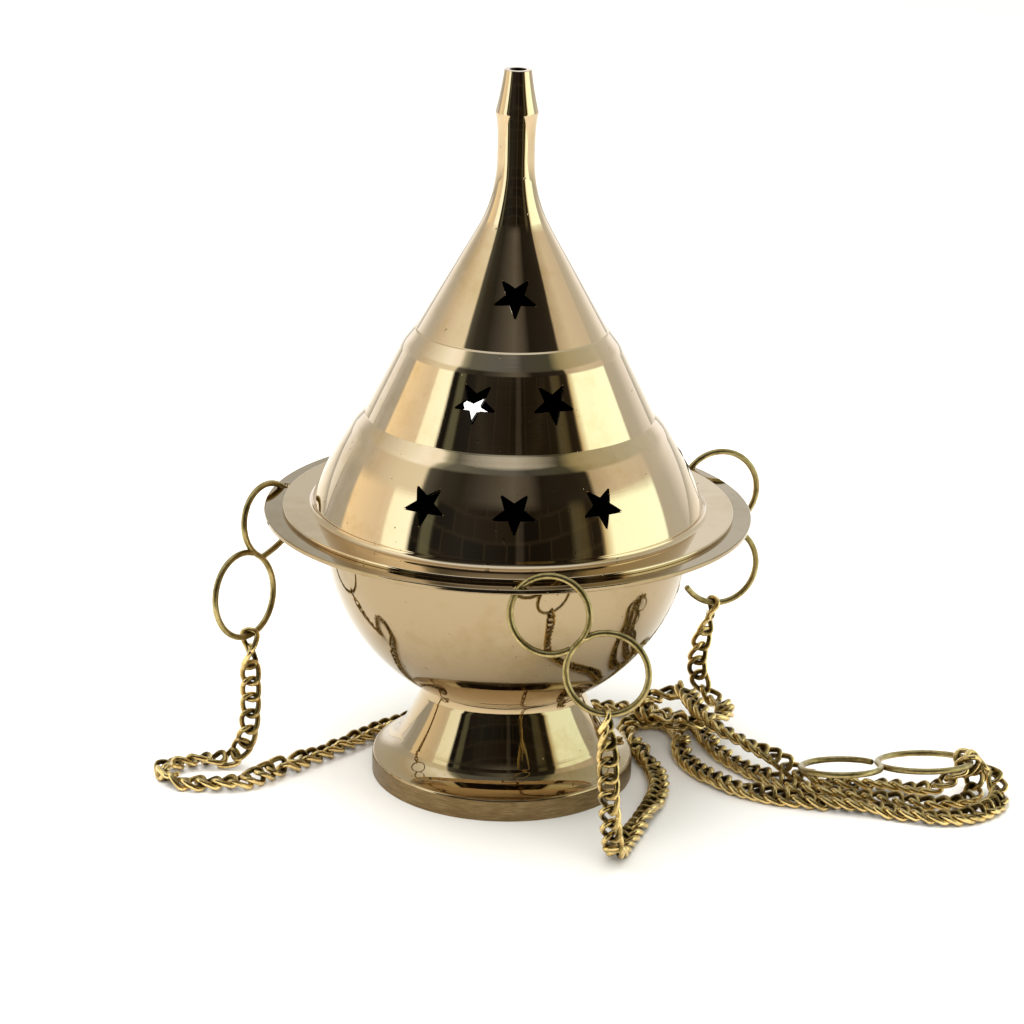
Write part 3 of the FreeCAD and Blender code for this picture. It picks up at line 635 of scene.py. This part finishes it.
def hole_cutters():
    """The hooks' holes through the flange, each on the bowl's side of its upper ring."""
    cutters = []
    middle = (FLANGE_LOW + FLANGE_HIGH) / 2
    for name, hook in HOOKS.items():
        across, upright = hook_plane(hook)
        centre, ring = Vector(hook["centre"]), hook["rings"][0]
        sine = (middle - centre.z) / (ring * upright.z)
        spots = [centre + across * (side * ring * math.sqrt(1 - sine ** 2)) + upright * ring * sine
                 for side in (-1, 1)]
        spot = min(spots, key=lambda s: math.hypot(s.x, s.y)) * MM
        size = (WIDE_HOLE if name == "hook_left" else HOLE) * MM
        turns = [2 * math.pi * k / HOLE_SIDES for k in range(HOLE_SIDES)]
        circle = [(size * math.cos(turn), size * math.sin(turn)) for turn in turns]
        cutters.append(prism(circle, spot, Vector((1, 0, 0)), Vector((0, 1, 0)),
                             Vector((0, 0, 1)), HOLE_LAYERS))
    return cutters


def turned_piece(name, corners, body, cutters=()):
    """A turned piece from its outline, with its holes cut."""
    mesh, places, facing = turned_mesh(name + "_turned", corners)
    if cutters:
        mesh = cut_from(mesh, cutters)
    set_normals(mesh, places, facing)
    return shown(name + "_turned", mesh, name, body)


foot = turned_piece("foot", FOOT, "censer")
bowl = turned_piece("bowl", BOWL, "censer", hole_cutters())
lid = turned_piece("lid", LID, "lid", star_cutters())

# ------------------------------------------------------------------ hooks
WIRE_SIDES = 14
# A cut end, in shares of the wire's radius: its flat face, and the step back to where it is full.
END_FACE, END_FULL, END_STEP = 0.72, 0.96, 0.22


def open_tube(name, line, radius, sides):
    """A wire along a line, its ends cut flat with a rounded edge."""
    count = len(line)
    ways = [(line[min(i + 1, count - 1)] - line[max(i - 1, 0)]).normalized() for i in range(count)]
    side = ways[0].orthogonal().normalized()
    rings = []
    for i, (point, way) in enumerate(zip(line, ways)):
        side = (side - way * side.dot(way)).normalized()
        other = way.cross(side)
        sizes = [(point, radius)]
        if i == 0:
            sizes = [(point, radius * END_FACE), (point + way * radius * END_STEP, radius * END_FULL)]
        elif i == count - 1:
            sizes = [(point - way * radius * END_STEP, radius * END_FULL), (point, radius * END_FACE)]
        for spot, size in sizes:
            rings.append([spot + (side * math.cos(2 * math.pi * k / sides)
                                  + other * math.sin(2 * math.pi * k / sides)) * size
                          for k in range(sides)])
    places = [tuple(place) for ring in rings for place in ring]
    faces = []
    for i in range(len(rings) - 1):
        for j in range(sides):
            k = (j + 1) % sides
            faces.append((i * sides + j, i * sides + k, (i + 1) * sides + k, (i + 1) * sides + j))
    last = (len(rings) - 1) * sides
    faces.append(tuple(range(sides))[::-1])
    faces.append(tuple(last + j for j in range(sides)))
    mesh = bpy.data.meshes.new(name)
    mesh.from_pydata(places, [], faces)
    mesh.polygons.foreach_set("use_smooth", [len(face) == 4 for face in faces])
    return mesh


WIRES = []
for name, hook in list(HOOKS.items()) + [("top_hook", TOP_HOOK)]:
    mesh = open_tube(name + "_wire", hook_line(hook), WIRE, WIRE_SIDES)
    WIRES.append(shown(name + "_wire", mesh, name, name))

# ------------------------------------------------------------------ materials


class Shader:
    """A short way to add and link nodes in one tree."""

    def __init__(self, tree):
        self.tree = tree

    def add(self, kind, inputs=None, **settings):
        node = self.tree.nodes.new(kind)
        for key, value in settings.items():
            setattr(node, key, value)
        for key, value in (inputs or {}).items():
            self.feed(node.inputs[key], value)
        return node

    def feed(self, socket, value):
        if isinstance(value, bpy.types.NodeSocket):
            self.tree.links.new(value, socket)
        else:
            socket.default_value = value

    def math(self, operation, *values):
        node = self.add("ShaderNodeMath", operation=operation)
        for socket, value in zip(node.inputs, values):
            self.feed(socket, value)
        return node.outputs[0]

    def noise(self, place, scale, detail=4.0, rough=0.5, stretch=None, kind="3D"):
        if stretch:
            place = self.add("ShaderNodeMapping", {"Vector": place, "Scale": stretch}).outputs[0]
        key = "W" if kind == "1D" else "Vector"
        node = self.add("ShaderNodeTexNoise", noise_dimensions=kind)
        self.feed(node.inputs[key], place)
        self.feed(node.inputs["Scale"], scale)
        self.feed(node.inputs["Detail"], detail)
        self.feed(node.inputs["Roughness"], rough)
        return node.outputs["Fac"]

    def ramp(self, value, stops):
        node = self.add("ShaderNodeValToRGB", {"Fac": value})
        parts = node.color_ramp.elements
        while len(parts) < len(stops):
            parts.new(0.5)
        for part, (place, colour) in zip(parts, stops):
            part.position = place
            part.color = (*colour, 1.0) if len(colour) == 3 else colour
        return node.outputs["Color"]

    def span(self, value, low, high, to_low=0.0, to_high=1.0):
        node = self.add("ShaderNodeMapRange", {"Value": value, "From Min": low, "From Max": high,
                                               "To Min": to_low, "To Max": to_high})
        return node.outputs[0]

    def blend(self, share, first, second, mode="MIX"):
        node = self.add("ShaderNodeMix", data_type="RGBA", blend_type=mode)
        self.feed(node.inputs[0], share)
        self.feed(node.inputs[6], first)
        self.feed(node.inputs[7], second)
        return node.outputs[2]


def new_material(name):
    """A new material, its shader's shorthand, its surface node and the place on the piece."""
    material = bpy.data.materials.new(name)
    material.use_nodes = True
    tree = material.node_tree
    shader = Shader(tree)
    surface = next(node for node in tree.nodes if node.type == "BSDF_PRINCIPLED")
    place = shader.add("ShaderNodeTexCoord").outputs["Object"]
    return material, shader, surface, place


def polished_brass(name, colour, stain, roughness, ripple=0.06):
    """Turned and polished brass: faint ripples, fine polishing scratches, thin tarnish."""
    material, s, surface, place = new_material(name)
    surface.inputs["Metallic"].default_value = 1.0
    cloud = s.noise(place, 38.0, 6.0, 0.62)
    spots = s.noise(place, 260.0, 5.0, 0.7)
    tarnish = s.span(s.math("ADD", s.math("MULTIPLY", cloud, 0.7), s.math("MULTIPLY", spots, 0.3)),
                     0.50, 0.68)
    pits = s.math("MULTIPLY", s.span(s.noise(place, 620.0, 2.0, 0.5), 0.73, 0.77), 0.7)
    marked = s.blend(tarnish, (*colour, 1), (*stain, 1))
    s.feed(surface.inputs["Base Color"], s.blend(pits, marked, (0.10, 0.07, 0.03, 1)))
    scratches = s.noise(place, 1.0, 2.0, 0.6, (2600.0, 300.0, 700.0))
    haze = s.span(s.math("ADD", s.math("MULTIPLY", cloud, 0.55), s.math("MULTIPLY", scratches, 0.45)),
                  0.35, 0.68, roughness * 0.8, roughness * 1.7)
    s.feed(surface.inputs["Roughness"], haze)
    split = s.add("ShaderNodeSeparateXYZ", {"Vector": place})
    reach = s.math("SQRT", s.math("ADD", s.math("MULTIPLY", split.outputs[0], split.outputs[0]),
                                  s.math("MULTIPLY", split.outputs[1], split.outputs[1])))
    along = s.math("ADD", split.outputs[2], s.math("MULTIPLY", reach, 0.7))
    turning = s.noise(along, 5200.0, 2.0, 0.5, kind="1D")
    soft = s.noise(place, 46.0, 2.0, 0.5)
    height = s.math("ADD", s.math("MULTIPLY", soft, ripple), s.math("MULTIPLY", turning, 0.0016))
    height = s.math("ADD", height, s.math("MULTIPLY", scratches, 0.0012))
    height = s.math("SUBTRACT", height, s.math("MULTIPLY", pits, 0.03))
    bump = s.add("ShaderNodeBump", {"Strength": 1.0, "Distance": 0.001, "Height": height})
    s.feed(surface.inputs["Normal"], bump.outputs[0])
    return material


def satin_brass(name):
    """The foot's plain band: brushed round, darker and dull."""
    material, s, surface, place = new_material(name)
    surface.inputs["Metallic"].default_value = 1.0
    brushed = s.noise(place, 1.0, 3.0, 0.6, (260.0, 260.0, 5200.0))
    cloud = s.noise(place, 90.0, 5.0, 0.65)
    mixed = s.math("ADD", s.math("MULTIPLY", brushed, 0.6), s.math("MULTIPLY", cloud, 0.4))
    s.feed(surface.inputs["Base Color"], s.ramp(s.span(mixed, 0.3, 0.7), [
        (0.0, (0.13, 0.085, 0.036)), (0.5, (0.24, 0.165, 0.075)), (1.0, (0.40, 0.29, 0.15))]))
    s.feed(surface.inputs["Roughness"], s.span(cloud, 0.3, 0.7, 0.34, 0.5))
    bump = s.add("ShaderNodeBump", {"Strength": 0.7, "Distance": 0.0001, "Height": mixed})
    s.feed(surface.inputs["Normal"], bump.outputs[0])
    return material


def aged_brass(name, deep, middle, bright, roughness, scale, marked=False):
    """Drawn wire: dull olive brass, with painted highlight outside and painted shade inside a link's
    wire when marked.
    """
    material, s, surface, place = new_material(name)
    surface.inputs["Metallic"].default_value = 1.0
    patches = s.noise(place, scale, 5.0, 0.65)
    grain = s.noise(place, scale * 9, 3.0, 0.6)
    mixed = s.math("ADD", s.math("MULTIPLY", patches, 0.65), s.math("MULTIPLY", grain, 0.35))
    # Painted shade on the inner side of each link's wire and painted highlight on its outer side.
    if marked:
        painted_link_shading = s.add("ShaderNodeAttribute", attribute_name="painted_link_shading").outputs["Fac"]
        mixed = s.math("ADD", mixed, s.span(painted_link_shading, 0.0, 1.0, -0.2, 0.17))
    s.feed(surface.inputs["Base Color"], s.ramp(s.span(mixed, 0.32, 0.68), [
        (0.0, deep), (0.45, middle), (1.0, bright)]))
    s.feed(surface.inputs["Roughness"], s.span(mixed, 0.3, 0.7, roughness * 1.3, roughness * 0.8))
    bump = s.add("ShaderNodeBump", {"Strength": 0.5, "Distance": 0.0001, "Height": grain})
    s.feed(surface.inputs["Normal"], bump.outputs[0])
    return material


BRASS = polished_brass("brass_polished", (0.585, 0.445, 0.275), (0.50, 0.36, 0.185), 0.03)
# The bowl's and the foot's brass is the lid's polished brass painted darker: painted shade.
BOWL_BRASS_SHADED = polished_brass("brass_bowl_painted_shade", (0.345, 0.26, 0.15), (0.285, 0.2, 0.09), 0.035)
FOOT_BRASS_SHADED = polished_brass("brass_foot_painted_shade", (0.42, 0.315, 0.18), (0.34, 0.24, 0.11), 0.03)
# Near-black brass painted inside the lid and bowl as shade.
INSIDE_SHADE = aged_brass("brass_inside_painted_shade", (0.012, 0.01, 0.008), (0.03, 0.024, 0.017), (0.10, 0.072, 0.035),
                  0.5, 120.0)
SATIN = satin_brass("brass_satin")
WIRE_BRASS = aged_brass("brass_wire", (0.16, 0.12, 0.035), (0.34, 0.26, 0.10), (0.56, 0.44, 0.2),
                        0.3, 420.0)
CHAIN_BRASS = aged_brass("brass_chain", (0.07, 0.045, 0.012), (0.36, 0.25, 0.085),
                         (0.86, 0.64, 0.27), 0.27, 300.0, marked=True)
SCREW_BRASS = aged_brass("brass_screw", (0.2, 0.14, 0.05), (0.4, 0.3, 0.13), (0.6, 0.46, 0.22),
                         0.28, 500.0)


# The foot's plain band reaches up to this height. The lid's and bowl's inside is painted near-black,
# as painted shade, up to these radii, apart from the lip between the two heights, where the lid sits in
# the bowl.
BAND_TOP = 5.0 * MM
SHADE_REACH = 45.5 * MM
SHADE_FLOOR = 41.0 * MM
LIP_LOW, LIP_HIGH = 60.0 * MM, 67.5 * MM


def paint(piece, material):
    piece.data.materials.clear()
    piece.data.materials.append(material)


for piece, material in ((foot, FOOT_BRASS_SHADED), (bowl, BOWL_BRASS_SHADED), (lid, BRASS)):
    paint(piece, material)
foot.data.materials.append(SATIN)
for face in foot.data.polygons:
    if face.center.z < BAND_TOP and face.normal.z < 0.5:
        face.material_index = 1
# The inside of the lid and bowl, and the bowl's floor, are painted near-black: painted shade.
for piece in (lid, bowl):
    piece.data.materials.append(INSIDE_SHADE)
    for face in piece.data.polygons:
        inward = face.normal.x * face.center.x + face.normal.y * face.center.y < 0
        reach = math.hypot(face.center.x, face.center.y)
        at_lip = LIP_LOW < face.center.z < LIP_HIGH
        if inward and reach < SHADE_REACH and not at_lip:
            face.material_index = 1
        if piece is bowl and reach < SHADE_FLOOR and face.normal.z > 0.2:
            face.material_index = 1
for piece in WIRES:
    paint(piece, WIRE_BRASS)
for piece in CHAINS:
    paint(piece, CHAIN_BRASS)
for name in ("foot_screw", "foot_nut"):
    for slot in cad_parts[name].material_slots:
        slot.material = SCREW_BRASS

# ------------------------------------------------------------------ floor and light
FLOOR_SIDE = 4.0
FLOOR_FRONT = -0.21
FLOOR_BACK = 6.0


def make_floor():
    """The plain pale floor that the piece stands on."""
    mesh = bpy.data.meshes.new("floor")
    mesh.from_pydata([(-FLOOR_SIDE, FLOOR_FRONT, 0), (FLOOR_SIDE, FLOOR_FRONT, 0),
                      (FLOOR_SIDE, FLOOR_BACK, 0), (-FLOOR_SIDE, FLOOR_BACK, 0)], [], [(0, 1, 2, 3)])
    floor = bpy.data.objects.new("floor", mesh)
    scene.collection.objects.link(floor)
    material, s, surface, place = new_material("floor_paper")
    surface.inputs["Roughness"].default_value = 0.9
    surface.inputs["Specular IOR Level"].default_value = 0.1
    s.feed(surface.inputs["Base Color"], s.ramp(s.noise(place, 6.0), [
        (0.0, (0.83, 0.82, 0.795)), (1.0, (0.85, 0.84, 0.815))]))
    mesh.materials.append(material)


# The surroundings that the brass reflects, by heading in degrees, 0 towards -Y and growing towards
# +X, in three levels: the dark camera side between two bright ones, the same walls higher up, and the
# edge of the ceiling. The stops are not a plain studio's: they were set from colours sampled in the
# photograph's reflections, so that the same bands show.
LOW_ROOM = [
    (-180, (0.95, 1.0, 1.05)), (-145, (1.2, 1.25, 1.3)), (-135, (1.0, 1.05, 1.1)),
    (-134, (0.14, 0.13, 0.12)), (-132.5, (0.62, 0.66, 0.70)), (-111, (0.72, 0.75, 0.77)),
    (-108.5, (1.52, 1.36, 1.05)), (-80, (1.2, 1.12, 0.98)), (-74.5, (1.25, 1.2, 1.1)),
    (-72.5, (1.8, 2.0, 1.9)), (-57, (1.9, 2.1, 2.1)), (-55.3, (0.012, 0.012, 0.012)),
    (-50, (0.012, 0.012, 0.012)), (-48.5, (0.17, 0.19, 0.15)), (-43.5, (0.15, 0.17, 0.13)),
    (-42, (0.018, 0.018, 0.018)), (-24, (0.024, 0.027, 0.03)), (4.5, (0.01, 0.009, 0.008)),
    (5.5, (0.055, 0.053, 0.05)), (8.5, (0.05, 0.048, 0.045)), (9.5, (0.008, 0.007, 0.006)),
    (36, (0.012, 0.011, 0.008)), (38.5, (0.11, 0.11, 0.075)), (45, (0.10, 0.09, 0.05)),
    (48, (0.02, 0.016, 0.012)), (54.5, (0.03, 0.024, 0.016)), (56, (0.95, 0.85, 0.55)),
    (62, (1.85, 2.2, 2.0)), (103.5, (1.85, 2.3, 2.2)), (105.5, (0.76, 0.8, 0.8)),
    (133, (0.75, 0.8, 0.83)), (180, (1.2, 1.25, 1.3)),
]
MIDDLE_ROOM = [
    (-180, (0.86, 0.9, 0.9)), (-120, (0.75, 0.78, 0.8)), (-109, (0.8, 0.8, 0.78)),
    (-95, (0.98, 0.93, 0.82)), (-75, (1.2, 1.2, 1.1)), (-57, (1.25, 1.28, 1.2)),
    (-54.5, (0.14, 0.15, 0.15)), (-44, (0.06, 0.06, 0.055)), (-30, (0.04, 0.04, 0.037)),
    (-12, (0.11, 0.11, 0.11)), (3, (0.18, 0.18, 0.18)), (14, (0.11, 0.105, 0.10)),
    (21, (0.025, 0.023, 0.02)), (45, (0.035, 0.032, 0.028)), (54, (0.05, 0.045, 0.035)),
    (56, (0.75, 0.7, 0.58)), (75, (1.05, 1.02, 0.92)), (104, (0.95, 0.93, 0.88)),
    (107, (0.78, 0.8, 0.8)), (140, (0.9, 0.95, 0.98)), (180, (1.2, 1.25, 1.3)),
]
HIGH_ROOM = [
    (-180, (0.84, 0.88, 0.88)), (-125, (0.8, 0.8, 0.75)), (-111, (0.83, 0.8, 0.68)),
    (-95, (1.1, 1.13, 1.12)), (-80, (1.4, 1.5, 1.5)), (-69, (1.6, 1.75, 1.9)),
    (-58, (1.5, 1.6, 1.7)), (-53, (0.5, 0.55, 0.5)), (-46, (0.2, 0.22, 0.22)),
    (-20, (0.18, 0.21, 0.24)), (5, (0.18, 0.2, 0.23)), (14, (0.10, 0.11, 0.12)),
    (45, (0.10, 0.11, 0.095)), (55, (0.5, 0.5, 0.35)), (66, (0.66, 0.65, 0.5)),
    (92, (0.72, 0.76, 0.68)), (125, (0.81, 0.87, 0.87)), (180, (1.2, 1.25, 1.3)),
]
CEILING = (1.0, 1.1, 1.25)
# The light low down behind the piece, by how far off to the side and how high it reaches.
BACKDROP = (1.45, 1.5, 1.6)
BACKDROP_FROM = (125, 150)
BACKDROP_RISE = (6, 14)
# The ramps hold colours up to 1, so they are scaled down by this and the background's strength back up.
STRONG = 2.5
# A wall's edges lean outwards as they rise, and its levels dip towards the sides, by heading squared.
LEAN_HIGH = 50.0
LEAN = (0.97, 1.27)
DIP = 0.0018
# Each level's rise in degrees: where it starts to take over and where it has.
MIDDLE_FROM = (38.0, 41.0)
HIGH_FROM = (50.0, 54.0)
CEILING_FROM = (60.0, 70.0)
# Faint shelves show in the dark side, up to this heading.
DARK_SIDE = 55.0


def scaled(colour):
    """A colour of the studio as the world's ramps hold it."""
    return tuple(part / STRONG for part in colour) + (1.0,)


def make_world():
    """Surroundings for reflections and light, and plain white where the camera looks past the piece."""
    world = bpy.data.worlds.new("studio")
    world.use_nodes = True
    scene.world = world
    tree = world.node_tree
    tree.nodes.clear()
    s = Shader(tree)
    way = s.add("ShaderNodeSeparateXYZ",
                {"Vector": s.add("ShaderNodeTexCoord").outputs["Generated"]})
    heading = s.math("DEGREES", s.math("ARCTAN2", way.outputs[0],
                                       s.math("MULTIPLY", way.outputs[1], -1.0)))
    rise = s.math("DEGREES", s.math("ARCSINE", way.outputs[2]))
    wall = s.math("DIVIDE", heading, s.span(rise, 0, LEAN_HIGH, *LEAN))
    share = s.span(wall, -180, 180)
    level = s.math("ADD", rise, s.math("MULTIPLY", s.math("MULTIPLY", heading, heading), DIP))
    low, middle, high = [s.ramp(share, [((degrees + 180) / 360, scaled(colour))
                                        for degrees, colour in stops])
                         for stops in (LOW_ROOM, MIDDLE_ROOM, HIGH_ROOM)]
    flat = s.add("ShaderNodeCombineXYZ", {"X": wall, "Y": rise}).outputs[0]
    shelves = s.add("ShaderNodeTexBrick", {
        "Vector": flat, "Color1": (0.001, 0.001, 0.001, 1), "Color2": (0.007, 0.005, 0.003, 1),
        "Mortar": (0.011, 0.009, 0.006, 1), "Scale": 0.028, "Mortar Size": 0.012,
        "Brick Width": 0.34, "Row Height": 0.2}).outputs["Color"]
    facing = s.math("LESS_THAN", s.math("ABSOLUTE", wall), DARK_SIDE)
    around = s.blend(facing, low, shelves, "ADD")
    around = s.blend(s.span(level, *MIDDLE_FROM), around, middle)
    around = s.blend(s.span(level, *HIGH_FROM), around, high)
    around = s.blend(s.span(rise, *CEILING_FROM), around, scaled(CEILING))
    behind = s.math("MULTIPLY", s.span(s.math("ABSOLUTE", heading), *BACKDROP_FROM),
                    s.span(rise, *BACKDROP_RISE, 1.0, 0.0))
    around = s.blend(behind, around, scaled(BACKDROP))
    room = s.add("ShaderNodeBackground", {"Color": around, "Strength": STRONG})
    plain = s.add("ShaderNodeBackground", {"Color": (1, 1, 1, 1), "Strength": 1.05})
    seen = s.add("ShaderNodeLightPath").outputs["Is Camera Ray"]
    mixed = s.add("ShaderNodeMixShader", {0: seen, 1: room.outputs[0], 2: plain.outputs[0]})
    s.add("ShaderNodeOutputWorld", {"Surface": mixed.outputs[0]})


LIGHTS_AIM = Vector((0.0, 0.0, 0.05))


def make_light(name, place, size, power, colour):
    """A soft round light that looks at the piece and does not show in the brass."""
    data = bpy.data.lights.new(name, "AREA")
    data.shape = "DISK"
    data.size = size
    data.energy = power
    data.color = colour
    light = bpy.data.objects.new(name, data)
    scene.collection.objects.link(light)
    light.location = place
    towards = LIGHTS_AIM - Vector(place)
    light.rotation_euler = towards.to_track_quat("-Z", "Y").to_euler()
    light.visible_glossy = False


make_floor()
make_world()
make_light("overhead", (-0.4, 0.0, 1.6), 1.7, 29.0, (1.0, 0.96, 0.91))
make_light("front_fill", (0.1, -1.2, 1.1), 1.4, 19.0, (1.0, 0.96, 0.92))
